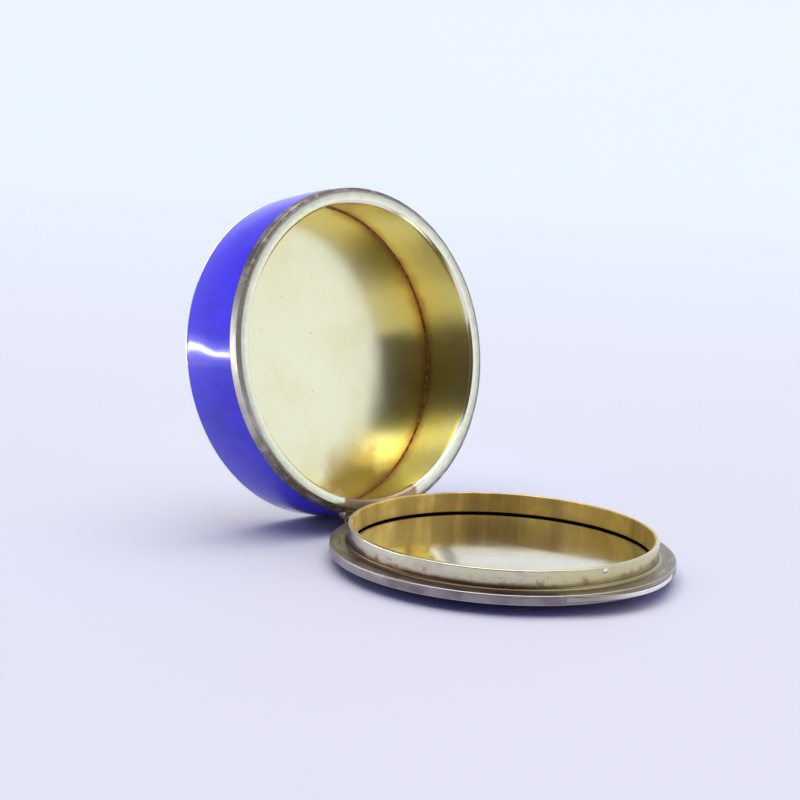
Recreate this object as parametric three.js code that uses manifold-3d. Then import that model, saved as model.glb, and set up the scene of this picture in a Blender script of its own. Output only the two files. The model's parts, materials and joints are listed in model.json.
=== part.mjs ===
// A round silver pill box with an enamelled drum and a hinged, enamelled lid.
//
// It is drawn lying open: the lid rests enamel side down on the table, its collar pointing up, and the drum
// leans back from the hinge until its enamelled wall touches the table. Millimetres, +Z up, the hinge pin
// along X, the drum on the +Y side. The origin is the bottom centre of the open box.
//
// Every piece is first drawn with the box closed and upside down: z = 0 is the lid's ledge, the lid lies
// below it and the drum above it. The drum is then turned back round the hinge pin.

import * as THREE from "three";
import { mergeVertices } from "three/addons/utils/BufferGeometryUtils.js";
import Module from "manifold-3d";

const wasm = await Module();
wasm.setup();

// ---- Driving dimensions ---------------------------------------------------------------------------------

const RADIUS = 20; // the lid's rim and the mouth ring
const OPEN_ANGLE = THREE.MathUtils.degToRad(102.9); // from closed to the hinge's stop
const CLOSED_GAP = 0.06; // between the ledge and the mouth when closed
const FIT = 0.03; // between pieces that are soldered together
const TURN_STEPS = 64; // round a lathed piece

// Drum: depths run from the mouth towards the base.
const MOUTH_INNER = 18.08;
const MOUTH_OUTER = 19.94;
const MOUTH_FLAT_OUTER = 19.36; // where the flat face ends and the bevel begins
const MOUTH_BEVEL_DEPTH = 0.24;
const MOUTH_CHAMFER = 0.28; // round the inside, to clear the solder at the collar's foot
const MOUTH_RING_DEPTH = 1.37;
const MOUTH_RING_INSIDE_DEPTH = 0.95;
const MOUTH_RING_SHOULDER = 18.93; // the ring is stepped here to sit on the wall
const WALL_INNER_AT_MOUTH = 18.2;
const WALL_INNER_AT_FLOOR = 18.93;
const DRUM_BULGE = 0.1; // how far the wall swells past the radius
const DRUM_BULGE_DEPTH = 4.4; // where it is widest
const ENAMEL_THICKNESS = 0.55;
const FLOOR_DEPTH = 9.07;
const FLOOR_THICKNESS = 0.42;
const DRUM_DEPTH = 10.15;
const BASE_PLATE_RADIUS = 19.0;
const BASE_EDGE_RADIUS = 19.8;
const BASE_EDGE_DEPTH = 9.75; // where the enamel ends and the base edge begins
const SOLDER_LEG = 0.26;

// Lid: heights run up from the ledge, and the enamel lies below it.
const RIM_THICKNESS = 1.12;
const RIM_ROUND = 0.16;
const COLLAR_OUTER = 17.94;
const COLLAR_INNER = 17.4;
const COLLAR_HEIGHT = 2.22;
const COLLAR_ROOT = 0.75; // how far the collar reaches down inside the rim
const COLLAR_UNDERCUT = 17.72; // the collar is cut back to this below the ledge, round the inner plate
const COLLAR_UNDERCUT_TOP = -0.05;
const LEDGE_FILLET = 0.33; // the solder at the collar's foot
const INNER_PLATE_RADIUS = 17.6;
const INNER_PLATE_EDGE_DROP = 0.35;
const INNER_PLATE_MIDDLE_DROP = 1.3;
const INNER_PLATE_THICKNESS = 0.3;
const LID_PLATE_RADIUS = 19.2;
const LID_PLATE_THICKNESS = 0.35; // in the middle
const LID_ENAMEL_EDGE = 19.85;
const INNER_DISH_POWER = 5; // how flat a dish's middle is and how sharply its shoulder turns
const OUTER_DISH_POWER = 6;

// Thumb-piece and snap.
const THUMB_HALF_ANGLE = THREE.MathUtils.degToRad(26);
const THUMB_REACH = 0.8;
const THUMB_TOP = -0.08;
const THUMB_THICKNESS = 0.68;
const PIP_ANGLE = THREE.MathUtils.degToRad(-8);
const PIP_RADIUS = 0.5;
const PIP_PROUD = 0.09;
const PIP_STRETCH = 1.45; // the bump is longer along the collar than it is high
const PIP_HEIGHT = 1.75;

// Hinge: a straight barrel of five knuckles let into the rim and the mouth ring.
const HINGE_Y = 19.96;
const HINGE_Z = -0.3;
const HINGE_HALF_LENGTH = 6;
const KNUCKLE_COUNT = 5;
const KNUCKLE_RADIUS = 0.52;
const KNUCKLE_GAP = 0.06;
const BORE_RADIUS = 0.28;
const PIN_RADIUS = 0.25;
const PLUG_LENGTH = 0.5;
const TROUGH_RADIUS = 0.57;
const LIP_RADIUS = 0.76;
const BEARER_INNER_Y = 18.98;
const BEARER_DEPTH = 1.3;
const BEARER_FOOT_Y = 19.5;
const NOTCH_MARGIN = 0.05;

// ---- Materials ------------------------------------------------------------------------------------------

function metal(color, roughness) {
  return new THREE.MeshStandardMaterial({ color, roughness, metalness: 1 });
}

const bright = () => metal(0xe6e4dc, 0.25);
const tarnished = () => metal(0x857c70, 0.45);
const gilt = () => metal(0xc8ac5c, 0.28);
const solder = () => metal(0x6e4218, 0.6);
const enamel = (color) => new THREE.MeshStandardMaterial({ color, roughness: 0.12, metalness: 0 });

// ---- Shape helpers --------------------------------------------------------------------------------------

const points = (pairs) => pairs.map(([x, y]) => new THREE.Vector2(x, y));

// A body of revolution about Z from [radius, z] pairs, which either start and end on the axis or close on
// themselves. The outline may run either way round.
function lathe(outline, steps = TURN_STEPS) {
  const profile = points(outline);
  if (THREE.ShapeUtils.area(profile) < 0) profile.reverse();
  if (profile[0].x > 0) profile.push(profile[0].clone());
  return new THREE.LatheGeometry(profile, steps).rotateX(Math.PI / 2);
}

// A bar along X, centred on x, whose section is a list of [y, z] pairs, counter-clockwise seen from +X.
function bar(section, length, x = 0) {
  const shape = new THREE.Shape(points(section));
  const geometry = new THREE.ExtrudeGeometry(shape, { depth: length, bevelEnabled: false });
  const toX = new THREE.Matrix4().makeBasis(
    new THREE.Vector3(0, 1, 0),
    new THREE.Vector3(0, 0, 1),
    new THREE.Vector3(1, 0, 0),
  );
  return geometry.applyMatrix4(toX).translate(x - length / 2, 0, 0);
}

// Points on an arc from one angle to the other, in degrees, both ends included.
function arc([centreX, centreY], radius, from, to, steps) {
  return Array.from({ length: steps + 1 }, (_, i) => {
    const angle = THREE.MathUtils.degToRad(from + ((to - from) * i) / steps);
    return [centreX + radius * Math.cos(angle), centreY + radius * Math.sin(angle)];
  });
}

function solid(geometry) {
  const bare = geometry.clone();
  bare.deleteAttribute("normal");
  bare.deleteAttribute("uv");
  const merged = mergeVertices(bare, 1e-4);
  const mesh = new wasm.Mesh({
    numProp: 3,
    vertProperties: merged.attributes.position.array,
    triVerts: new Uint32Array(merged.index.array),
  });
  return new wasm.Manifold(mesh);
}

function geometryOf(manifold) {
  const mesh = manifold.getMesh();
  const geometry = new THREE.BufferGeometry();
  geometry.setAttribute("position", new THREE.BufferAttribute(mesh.vertProperties, 3));
  geometry.setIndex(new THREE.BufferAttribute(mesh.triVerts, 1));
  const faceted = geometry.toNonIndexed();
  faceted.computeVertexNormals();
  return faceted;
}

const cut = (geometry, tool) => geometryOf(solid(geometry).subtract(solid(tool)));

function piece(name, geometry, material) {
  const mesh = new THREE.Mesh(geometry, material);
  mesh.name = name;
  return mesh;
}

// ---- Drum -----------------------------------------------------------------------------------------------

const fromMouth = (depth) => CLOSED_GAP + depth;
const drumOutline = (pairs) => pairs.map(([radius, depth]) => [radius, fromMouth(depth)]);

// The drum's outside from the mouth ring to the base edge: a shallow barrel that narrows to the base.
function drumRadius(depth) {
  const across = (depth - DRUM_BULGE_DEPTH) / (DRUM_BULGE_DEPTH - MOUTH_RING_DEPTH);
  return RADIUS + DRUM_BULGE * (1 - across * across);
}

function depthSteps(from, to, steps) {
  return Array.from({ length: steps + 1 }, (_, i) => from + ((to - from) * i) / steps);
}

const wallInner = (depth) =>
  THREE.MathUtils.mapLinear(depth, 0, FLOOR_DEPTH, WALL_INNER_AT_MOUTH, WALL_INNER_AT_FLOOR);

const BARREL_STEPS = 6;

// Points down the drum's barrel, set in from its outside.
const barrel = (from, to, inset) =>
  depthSteps(from, to, BARREL_STEPS).map((depth) => [drumRadius(depth) - inset, depth]);

function boxEnamel() {
  const top = MOUTH_RING_DEPTH + FIT;
  return lathe(
    drumOutline([
      ...barrel(top, BASE_EDGE_DEPTH, 0),
      ...barrel(BASE_EDGE_DEPTH, top, ENAMEL_THICKNESS),
    ]),
  );
}

function boxWall() {
  const top = MOUTH_RING_INSIDE_DEPTH + FIT;
  const shoulder = MOUTH_RING_DEPTH + FIT;
  const bottom = FLOOR_DEPTH + FLOOR_THICKNESS;
  const underRing = MOUTH_RING_SHOULDER - FIT;
  const outside = barrel(shoulder, bottom, ENAMEL_THICKNESS + FIT);
  return lathe(
    drumOutline([
      [wallInner(top), top],
      [underRing, top],
      [underRing, shoulder],
      ...outside,
      [wallInner(bottom), bottom],
    ]),
  );
}

function mouthRing() {
  return lathe(
    drumOutline([
      [MOUTH_INNER, MOUTH_CHAMFER],
      [MOUTH_INNER + MOUTH_CHAMFER, 0],
      [MOUTH_FLAT_OUTER, 0],
      [MOUTH_OUTER, MOUTH_BEVEL_DEPTH],
      [RADIUS, MOUTH_RING_DEPTH],
      [MOUTH_RING_SHOULDER, MOUTH_RING_DEPTH],
      [MOUTH_RING_SHOULDER, MOUTH_RING_INSIDE_DEPTH],
      [MOUTH_INNER, MOUTH_RING_INSIDE_DEPTH],
    ]),
  );
}

const floorRadius = WALL_INNER_AT_FLOOR - FIT;

function floorPlate() {
  return lathe(
    drumOutline([
      [0, FLOOR_DEPTH],
      [floorRadius, FLOOR_DEPTH],
      [floorRadius, FLOOR_DEPTH + FLOOR_THICKNESS],
      [0, FLOOR_DEPTH + FLOOR_THICKNESS],
    ]),
  );
}

function floorSolder() {
  const radius = wallInner(FLOOR_DEPTH - SOLDER_LEG) - FIT;
  const bottom = FLOOR_DEPTH - FIT;
  return lathe(
    drumOutline([
      [radius, bottom - SOLDER_LEG],
      [radius, bottom],
      [radius - SOLDER_LEG, bottom],
    ]),
  );
}

function basePlate() {
  const top = FLOOR_DEPTH + FLOOR_THICKNESS + FIT;
  return lathe(
    drumOutline([
      [0, top],
      [BASE_PLATE_RADIUS, top],
      [BASE_PLATE_RADIUS, DRUM_DEPTH],
      [0, DRUM_DEPTH],
    ]),
  );
}

// The silver edge under the enamel: pairs of [radius, depth] round its outside, from the enamel to the base.
const baseEdgeOutside = [
  [BASE_EDGE_RADIUS - 0.03, BASE_EDGE_DEPTH + FIT],
  [BASE_EDGE_RADIUS, BASE_EDGE_DEPTH + 0.09],
  [BASE_EDGE_RADIUS - 0.02, BASE_EDGE_DEPTH + 0.2],
  [BASE_EDGE_RADIUS - 0.22, DRUM_DEPTH],
];

function baseEdgeRing() {
  const inner = BASE_PLATE_RADIUS + FIT;
  const inside = [
    [inner, DRUM_DEPTH],
    [inner, BASE_EDGE_DEPTH + FIT],
  ];
  return lathe(drumOutline([...baseEdgeOutside, ...inside]));
}

// ---- Lid ------------------------------------------------------------------------------------------------

// A point of the drum's outline on the hinge side, as its height above the ledge once the drum is open.
function heightWhenOpen([radius, depth]) {
  const y = radius - HINGE_Y;
  const z = fromMouth(depth) - HINGE_Z;
  return HINGE_Z - y * Math.sin(OPEN_ANGLE) + z * Math.cos(OPEN_ANGLE);
}

// The table: the lowest that the open drum's base edge reaches, which the lid's enamel reaches too.
const TABLE_Z = Math.min(...baseEdgeOutside.map(heightWhenOpen));

function lidRim() {
  const inner = COLLAR_OUTER + FIT;
  const bottom = -RIM_THICKNESS;
  return lathe([
    [inner, bottom],
    [RADIUS - RIM_ROUND, bottom],
    [RADIUS, bottom + RIM_ROUND],
    [RADIUS, -RIM_ROUND],
    [RADIUS - RIM_ROUND, 0],
    ...arc([inner + LEDGE_FILLET, LEDGE_FILLET], LEDGE_FILLET, 270, 180, 4),
  ]);
}

function lidCollar() {
  const round = 0.1;
  return lathe([
    [COLLAR_UNDERCUT, -COLLAR_ROOT],
    [COLLAR_OUTER, -COLLAR_ROOT],
    [COLLAR_OUTER, COLLAR_HEIGHT - round],
    [COLLAR_OUTER - round, COLLAR_HEIGHT],
    [COLLAR_INNER + round, COLLAR_HEIGHT],
    [COLLAR_INNER, COLLAR_HEIGHT - round],
    [COLLAR_INNER, COLLAR_UNDERCUT_TOP],
    [COLLAR_UNDERCUT, COLLAR_UNDERCUT_TOP],
  ]);
}

// A shallow dish's surface from its middle to its edge: [radius, z] pairs.
function dish(radius, middleZ, edgeZ, power) {
  const shares = [0, 0.3, 0.5, 0.65, 0.75, 0.83, 0.9, 0.95, 1];
  return shares.map((share) => [radius * share, middleZ + (edgeZ - middleZ) * share ** power]);
}

const lowered = (outline, drop) => outline.map(([radius, z]) => [radius, z - drop]);

const innerPlateTop = dish(
  INNER_PLATE_RADIUS,
  -INNER_PLATE_MIDDLE_DROP,
  -INNER_PLATE_EDGE_DROP,
  INNER_DISH_POWER,
);

function lidInnerPlate() {
  return lathe([...innerPlateTop, ...lowered(innerPlateTop, INNER_PLATE_THICKNESS).reverse()]);
}

const rimUnderside = -RIM_THICKNESS - FIT;

// The lid plate's top follows the inner plate until it reaches the level of the collar's foot.
const lidPlateTop = lowered(innerPlateTop, INNER_PLATE_THICKNESS + FIT).filter(
  ([, z]) => z < -COLLAR_ROOT - FIT,
);
const lidPlateBottom = dish(
  LID_PLATE_RADIUS,
  lidPlateTop[0][1] - LID_PLATE_THICKNESS,
  rimUnderside,
  OUTER_DISH_POWER,
);

function lidPlate() {
  const underCollar = -COLLAR_ROOT - FIT;
  return lathe([
    ...lidPlateTop,
    [INNER_PLATE_RADIUS - 0.3, underCollar],
    [COLLAR_OUTER, underCollar],
    [COLLAR_OUTER, rimUnderside],
    ...lidPlateBottom.slice().reverse(),
  ]);
}

function lidEnamel() {
  const outside = dish(LID_ENAMEL_EDGE, TABLE_Z, rimUnderside, OUTER_DISH_POWER);
  const inside = lowered(lidPlateBottom, FIT).slice(0, -1);
  return lathe([...outside, [LID_PLATE_RADIUS + FIT, rimUnderside], ...inside.reverse()]);
}

// A crescent lip: its inner edge follows the rim and its outer edge stands further out in the middle.
function thumbPiece() {
  const steps = 16;
  const inner = RADIUS + FIT;
  const rootProud = 0.06;
  const at = (radius, angle) => new THREE.Vector2(radius * Math.sin(angle), -radius * Math.cos(angle));
  const angles = Array.from({ length: steps + 1 }, (_, i) => (2 * i / steps - 1) * THUMB_HALF_ANGLE);
  const proud = (angle) => rootProud + THUMB_REACH * Math.cos((angle / THUMB_HALF_ANGLE) * (Math.PI / 2));
  const outside = angles.map((angle) => at(inner + proud(angle), angle));
  const inside = angles.map((angle) => at(inner, angle)).reverse();
  const shape = new THREE.Shape([...outside, ...inside]);
  const geometry = new THREE.ExtrudeGeometry(shape, { depth: THUMB_THICKNESS, bevelEnabled: false });
  return geometry.translate(0, 0, THUMB_TOP - THUMB_THICKNESS);
}

// A low oval bump on the outside of the collar.
function snapPip() {
  const foot = PIP_RADIUS - PIP_PROUD;
  const capAngle = THREE.MathUtils.radToDeg(Math.acos(foot / PIP_RADIUS));
  const cap = arc([0, 0], PIP_RADIUS, 90 - capAngle, 90, 3).slice(0, -1);
  return lathe([[0, foot], ...cap, [0, PIP_RADIUS]], 16)
    .rotateX(Math.PI / 2)
    .scale(PIP_STRETCH, 1, 1)
    .translate(0, foot - COLLAR_OUTER - FIT, PIP_HEIGHT)
    .rotateZ(PIP_ANGLE);
}

// ---- Hinge ----------------------------------------------------------------------------------------------

const hingeCentre = [HINGE_Y, HINGE_Z];
const lipAngle = (180 - THREE.MathUtils.radToDeg(OPEN_ANGLE)) / 2;

// Where a circle round the pin meets a level line on the inner side, as an angle in degrees.
function troughStart(level) {
  const rise = level - HINGE_Z;
  return 180 - THREE.MathUtils.radToDeg(Math.asin(rise / TROUGH_RADIUS));
}

// The drum's bearer lies above the ledge: a block with a trough for the barrel and a lip curling round it.
function boxBearer() {
  const mouth = fromMouth(0);
  const foot = fromMouth(BEARER_DEPTH);
  return bar(
    [
      [BEARER_INNER_Y, mouth],
      ...arc(hingeCentre, TROUGH_RADIUS, troughStart(mouth), 90 - lipAngle + 0.6, 10),
      ...arc(hingeCentre, LIP_RADIUS, 90 - lipAngle + 0.6, 90, 4),
      [BEARER_FOOT_Y, foot],
      [BEARER_INNER_Y, foot],
    ],
    2 * HINGE_HALF_LENGTH,
  );
}

function lidBearer() {
  const ledge = 0;
  const foot = -RIM_THICKNESS;
  return bar(
    [
      [BEARER_INNER_Y, ledge],
      [BEARER_INNER_Y, foot],
      [BEARER_FOOT_Y, foot],
      ...arc(hingeCentre, LIP_RADIUS, 270, 270 + lipAngle - 0.6, 4),
      ...arc(hingeCentre, TROUGH_RADIUS, 270 + lipAngle - 0.6, troughStart(ledge), 10),
    ],
    2 * HINGE_HALF_LENGTH,
  );
}

const knucklePitch = (2 * HINGE_HALF_LENGTH) / KNUCKLE_COUNT;
const knuckleX = (index) => -HINGE_HALF_LENGTH + (index + 0.5) * knucklePitch;

function onPin(geometry, x) {
  return geometry.rotateZ(Math.PI / 2).translate(x, HINGE_Y, HINGE_Z);
}

function knuckle(index) {
  const half = (knucklePitch - KNUCKLE_GAP) / 2;
  const outline = points([
    [BORE_RADIUS, -half],
    [KNUCKLE_RADIUS, -half],
    [KNUCKLE_RADIUS, half],
    [BORE_RADIUS, half],
    [BORE_RADIUS, -half],
  ]);
  return onPin(new THREE.LatheGeometry(outline, 20), knuckleX(index));
}

const plugInner = HINGE_HALF_LENGTH - KNUCKLE_GAP / 2 - PLUG_LENGTH;

function hingePin() {
  const length = 2 * (plugInner - FIT);
  return onPin(new THREE.CylinderGeometry(PIN_RADIUS, PIN_RADIUS, length, 20), 0);
}

function pinPlug(side) {
  const radius = BORE_RADIUS - 0.015;
  const geometry = new THREE.CylinderGeometry(radius, radius, PLUG_LENGTH, 20);
  return onPin(geometry, side * (plugInner + PLUG_LENGTH / 2));
}

// The straight slot that the mouth ring and the rim are cut back to for a bearer.
function hingeNotch(low, high) {
  const y = BEARER_INNER_Y - NOTCH_MARGIN;
  const box = new THREE.BoxGeometry(2 * (HINGE_HALF_LENGTH + NOTCH_MARGIN), 4, high - low);
  return box.translate(0, y + 2, (low + high) / 2);
}

// ---- Assembly -------------------------------------------------------------------------------------------

function lid() {
  const group = new THREE.Group();
  group.add(
    piece("lid_rim", cut(lidRim(), hingeNotch(-RIM_THICKNESS - 1, 1)), tarnished()),
    piece("lid_collar", lidCollar(), gilt()),
    piece("lid_inner_plate", lidInnerPlate(), gilt()),
    piece("lid_plate", lidPlate(), bright()),
    piece("lid_enamel", lidEnamel(), enamel(0x20205a)),
    piece("thumb_piece", thumbPiece(), bright()),
    piece("snap_pip", snapPip(), bright()),
    piece("lid_hinge_bearer", lidBearer(), tarnished()),
    piece("lid_knuckle_left", knuckle(1), tarnished()),
    piece("lid_knuckle_right", knuckle(3), tarnished()),
  );
  return group;
}

function drum() {
  const group = new THREE.Group();
  const notch = hingeNotch(fromMouth(-1), fromMouth(BEARER_DEPTH + NOTCH_MARGIN));
  group.add(
    piece("box_wall", boxWall(), gilt()),
    piece("box_enamel", boxEnamel(), enamel(0x2a1ec8)),
    piece("mouth_ring", cut(mouthRing(), notch), bright()),
    piece("floor_plate", floorPlate(), gilt()),
    piece("floor_solder", floorSolder(), solder()),
    piece("base_plate", basePlate(), bright()),
    piece("base_edge_ring", baseEdgeRing(), bright()),
    piece("box_hinge_bearer", boxBearer(), tarnished()),
    piece("box_knuckle_left", knuckle(0), tarnished()),
    piece("box_knuckle_middle", knuckle(2), tarnished()),
    piece("box_knuckle_right", knuckle(4), tarnished()),
    piece("hinge_pin", hingePin(), bright()),
    piece("pin_plug_left", pinPlug(-1), bright()),
    piece("pin_plug_right", pinPlug(1), bright()),
  );
  return group;
}

// Turns the drum back round the hinge pin, from closed to open.
function opened(group) {
  group.position.set(0, -HINGE_Y, -HINGE_Z);
  const pivot = new THREE.Group();
  pivot.position.set(0, HINGE_Y, HINGE_Z);
  pivot.rotation.x = -OPEN_ANGLE;
  pivot.add(group);
  return pivot;
}

const group = new THREE.Group();
group.add(lid(), opened(drum()));
group.updateMatrixWorld(true);

// The origin moves to the bottom centre of the open box.
const extents = new THREE.Box3().setFromObject(group, true);
const centre = extents.getCenter(new THREE.Vector3());
group.position.set(-centre.x, -centre.y, -extents.min.z);

export default group;
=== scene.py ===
# A round silver pill box, lying open: the lid enamel side down, the drum leaning back from its hinge.
#
# Each turned piece is drawn in millimetres in the coordinates of the part it belongs to, and its object
# carries it into place, so a material can read radius and depth straight from the object's own coordinates.
# Drum coordinates: z is the depth below the mouth, and +y points to the hinge. Lid coordinates: z is the
# height above the ledge, and +y points to the hinge. Hinge coordinates: z runs along the pin.

import json
import math

import bmesh
import bpy
from mathutils import Matrix, Vector, noise


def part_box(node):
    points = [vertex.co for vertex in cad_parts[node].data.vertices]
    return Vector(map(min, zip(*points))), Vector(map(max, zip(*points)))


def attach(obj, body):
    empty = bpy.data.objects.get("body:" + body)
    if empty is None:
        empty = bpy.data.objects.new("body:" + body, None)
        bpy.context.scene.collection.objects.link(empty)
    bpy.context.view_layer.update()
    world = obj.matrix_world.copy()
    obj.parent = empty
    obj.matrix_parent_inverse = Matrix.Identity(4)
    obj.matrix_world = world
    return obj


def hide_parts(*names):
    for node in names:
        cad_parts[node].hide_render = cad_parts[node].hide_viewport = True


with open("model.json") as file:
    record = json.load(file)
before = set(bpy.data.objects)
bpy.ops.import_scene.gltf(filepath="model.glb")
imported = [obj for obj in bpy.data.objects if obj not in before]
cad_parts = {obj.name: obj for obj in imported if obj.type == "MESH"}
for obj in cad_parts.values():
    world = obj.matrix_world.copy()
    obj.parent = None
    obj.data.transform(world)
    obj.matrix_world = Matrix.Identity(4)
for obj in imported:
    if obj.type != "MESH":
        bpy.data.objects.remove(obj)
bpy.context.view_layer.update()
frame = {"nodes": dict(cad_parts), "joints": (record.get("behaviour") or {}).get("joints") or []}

MM = 0.001

# ---- Dimensions, in millimetres, as in the CAD unless a comment says otherwise ---------------------------

RADIUS = 20.0
CLOSED_GAP = 0.06
FIT = 0.03

MOUTH_INNER = 18.08
MOUTH_OUTER = 19.94
MOUTH_FLAT_OUTER = 19.36
MOUTH_BEVEL_DEPTH = 0.24
MOUTH_CHAMFER = 0.28
MOUTH_RING_DEPTH = 1.37
MOUTH_RING_INSIDE_DEPTH = 0.95
MOUTH_RING_SHOULDER = 18.93
WALL_INNER_AT_MOUTH = 18.2
WALL_INNER_AT_FLOOR = 18.93
DRUM_BULGE = 0.1
DRUM_BULGE_DEPTH = 4.4
ENAMEL_THICKNESS = 0.55
FLOOR_DEPTH = 9.07
FLOOR_THICKNESS = 0.42
DRUM_DEPTH = 10.15
BASE_PLATE_RADIUS = 19.0
BASE_EDGE_RADIUS = 19.8
BASE_EDGE_DEPTH = 9.75

RIM_THICKNESS = 1.12
COLLAR_OUTER = 17.94
COLLAR_INNER = 17.4
COLLAR_HEIGHT = 2.22
COLLAR_ROOT = 0.75
COLLAR_UNDERCUT = 17.72
COLLAR_UNDERCUT_TOP = -0.22  # 0.17 lower than in the CAD, which leaves a thinner dark gap
LEDGE_FILLET = 0.33
INNER_PLATE_RADIUS = 17.6
INNER_PLATE_EDGE_DROP = 0.35
INNER_PLATE_MIDDLE_DROP = 1.3
INNER_PLATE_THICKNESS = 0.3
LID_PLATE_RADIUS = 19.2
LID_PLATE_THICKNESS = 0.35
LID_ENAMEL_EDGE = 19.85
INNER_DISH_POWER = 5
OUTER_DISH_POWER = 6

THUMB_HALF_ANGLE = math.radians(26)
THUMB_REACH = 0.8
THUMB_ROOT_PROUD = 0.06
THUMB_TOP = -0.08
THUMB_THICKNESS = 0.68
PIP_ANGLE = math.radians(-8)
PIP_RADIUS = 0.5
PIP_PROUD = 0.09
PIP_STRETCH = 1.45
PIP_HEIGHT = 1.75

HINGE_Y = 19.96
HINGE_Z = -0.3
HINGE_HALF_LENGTH = 6.0
KNUCKLE_COUNT = 5
KNUCKLE_RADIUS = 0.52
KNUCKLE_GAP = 0.06
BORE_RADIUS = 0.28
PLUG_LENGTH = 0.5
TROUGH_RADIUS = 0.57
LIP_RADIUS = 0.76
BEARER_INNER_Y = 18.98
BEARER_DEPTH = 1.3
BEARER_FOOT_Y = 19.5
NOTCH_MARGIN = 0.05

# ---- Where the parts stand ------------------------------------------------------------------------------

joint = frame["joints"][0]
PIN = Vector(joint["pos_m"])
OPEN_ANGLE = math.radians(joint["range_deg"][1])
collar_low, collar_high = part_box("lid_collar")
LID_AXIS = (collar_low + collar_high) / 2

LID_FRAME = Matrix.Translation((LID_AXIS.x, LID_AXIS.y, collar_high.z - COLLAR_HEIGHT * MM))
CLOSED_DRUM = Matrix.Translation((0, -HINGE_Y * MM, (CLOSED_GAP - HINGE_Z) * MM))
DRUM_FRAME = Matrix.Translation(PIN) @ Matrix.Rotation(-OPEN_ANGLE, 4, "X") @ CLOSED_DRUM
HINGE_FRAME = Matrix.Translation(PIN) @ Matrix.Rotation(math.radians(90), 4, "Y")

# ---- Mesh helpers ---------------------------------------------------------------------------------------

SEGMENTS = 256
ARC_STEPS = 5
FILLET_STEPS = 8
LONGEST_CUT = 0.48  # how much of a side a corner's arc may use up


def rounded(outline):
    """The closed outline, with an arc at each corner that gives a radius: [radius, z, corner radius] rows."""
    result = []
    for i, corner in enumerate(outline):
        here = Vector(corner[:2])
        if len(corner) < 3:
            result.append(here)
            continue
        before = Vector(outline[i - 1][:2]) - here
        after = Vector(outline[(i + 1) % len(outline)][:2]) - here
        half = before.angle(after) / 2
        length = min(corner[2] / math.tan(half), LONGEST_CUT * before.length, LONGEST_CUT * after.length)
        start, finish = here + before.normalized() * length, here + after.normalized() * length
        radius = length * math.tan(half)
        centre = here + (before.normalized() + after.normalized()).normalized() * radius / math.sin(half)
        first = start - centre
        turn = first.angle_signed(finish - centre)
        for step in range(ARC_STEPS + 1):
            result.append(centre + Matrix.Rotation(-turn * step / ARC_STEPS, 2) @ first)
    return result


def arc(centre, radius, start, finish):
    """Points on an arc from one angle to the other, in degrees, both ends included."""
    shares = [i / FILLET_STEPS for i in range(FILLET_STEPS + 1)]
    angles = [math.radians(start + (finish - start) * share) for share in shares]
    return [[centre[0] + radius * math.cos(a), centre[1] + radius * math.sin(a)] for a in angles]


def line(start, finish, steps):
    """Evenly spaced points from start to finish, both included."""
    return [[a + (b - a) * i / steps for a, b in zip(start, finish)] for i in range(steps + 1)]


def mesh_from(name, rows, faces):
    mesh = bpy.data.meshes.new(name)
    mesh.from_pydata([Vector(row) * MM for row in rows], [], faces)
    mesh.validate()
    return mesh


def settle(obj, sharp_angle=32):
    """Faces out, and smooth shading between faces that meet at less than the angle."""
    bm = bmesh.new()
    bm.from_mesh(obj.data)
    bmesh.ops.recalc_face_normals(bm, faces=bm.faces)
    bm.to_mesh(obj.data)
    bm.free()
    obj.data.shade_smooth()
    obj.data.set_sharp_from_angle(angle=math.radians(sharp_angle))
    obj.data.update()


def placed(name, mesh, matrix):
    obj = bpy.data.objects.new(name, mesh)
    bpy.context.scene.collection.objects.link(obj)
    obj.matrix_world = matrix
    settle(obj)
    return obj


def lathe(name, outline, matrix, segments=SEGMENTS):
    """A body of revolution about z. The outline is closed, or starts and ends on the axis."""
    profile = rounded(outline)
    rows, rings = [], []
    for point in profile:
        if point[0] < 1e-6:
            rings.append([len(rows)] * segments)
            rows.append((0, 0, point[1]))
            continue
        rings.append(list(range(len(rows), len(rows) + segments)))
        for i in range(segments):
            angle = math.tau * i / segments
            rows.append((point[0] * math.cos(angle), point[0] * math.sin(angle), point[1]))
    faces = []
    for ring, following in zip(rings, rings[1:] + rings[:1]):
        for i in range(segments):
            j = (i + 1) % segments
            corners = dict.fromkeys((ring[i], ring[j], following[j], following[i]))
            if len(corners) > 2:
                faces.append(list(corners))
    return placed(name, mesh_from(name, rows, faces), matrix)


def bar(name, section, length, matrix):
    """A bar along x whose section is a closed outline of [y, z, corner radius] rows."""
    profile = rounded(section)
    count = len(profile)
    rows = [(side * length / 2, p[0], p[1]) for side in (-1, 1) for p in profile]
    faces = [[i, (i + 1) % count, count + (i + 1) % count, count + i] for i in range(count)]
    faces += [list(range(count)), list(range(2 * count - 1, count - 1, -1))]
    return placed(name, mesh_from(name, rows, faces), matrix)


def applied(obj, kind, **settings):
    """The object with a modifier made real."""
    modifier = obj.modifiers.new(kind, kind)
    for key, value in settings.items():
        setattr(modifier, key, value)
    graph = bpy.context.evaluated_depsgraph_get()
    made = bpy.data.meshes.new_from_object(obj.evaluated_get(graph))
    obj.modifiers.clear()
    obj.data = made
    settle(obj)
    return obj


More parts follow.
